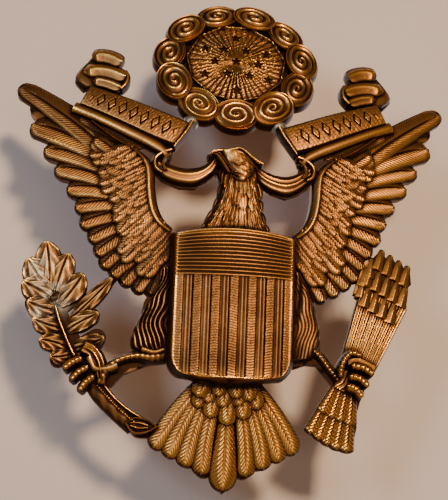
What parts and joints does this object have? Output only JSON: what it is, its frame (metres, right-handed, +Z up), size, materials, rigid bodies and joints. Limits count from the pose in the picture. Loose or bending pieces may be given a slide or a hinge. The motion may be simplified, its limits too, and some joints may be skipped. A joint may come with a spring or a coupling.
{
  "type": "cap badge",
  "caption": "Domed die-struck brass eagle cap badge with shield, cloud ring, scroll, olive branch and arrows, clamped from behind by a screw post, washer and knurled nut.",
  "frame": {"origin": "midway between the two locating pins, in the plane that the backs of the wing tips lie in", "axes": "+X to the viewer's right, +Z up towards the cloud ring, front towards -Y; the pins and the screw post point along +Y"},
  "size_m": [0.0524, 0.0202, 0.0604],
  "materials": {
    "struck_brass": "die-struck, dark patina in the hollows, polished on the high points",
    "worn_brass": "as the struck brass, with a pale rubbed patch on the upper leaves",
    "plain_brass": "drawn, dull",
    "turned_brass": "turned and knurled, lightly tarnished",
    "solder": "soft solder, dull silver"
  },
  "bodies": {
    "badge": {"eagle_plate": "struck_brass", "shield": "struck_brass", "cloud_ring": "struck_brass", "scroll_left": "struck_brass", "scroll_right": "struck_brass", "olive_branch": "worn_brass", "arrow_bundle": "struck_brass", "cloud_solder": "solder", "shield_rivets": "plain_brass", "post_base": "plain_brass", "screw_post": "plain_brass", "post_solder": "solder", "locating_pin_left": "plain_brass", "locating_pin_right": "plain_brass", "pin_solder_left": "solder", "pin_solder_right": "solder"},
    "washer": {"clamp_washer": "turned_brass"},
    "nut": {"thumb_nut": "turned_brass"}
  },
  "joints": [
    {"name": "washer_slide", "type": "slide", "parent": "badge", "child": "washer", "axis": [0, 1, 0], "range_m": [-0.00286, 0.00382]},
    {"name": "nut_spin", "type": "hinge", "parent": "washer", "child": "nut", "pos_m": [0, 0.0025, -0.0066], "axis": [0, 1, 0], "range_deg": [-1620, 2160]}
  ],
  "couplings": [
    {"joint": "washer_slide", "follows": "nut_spin", "m_per_rad": 0.00010106}
  ]
}
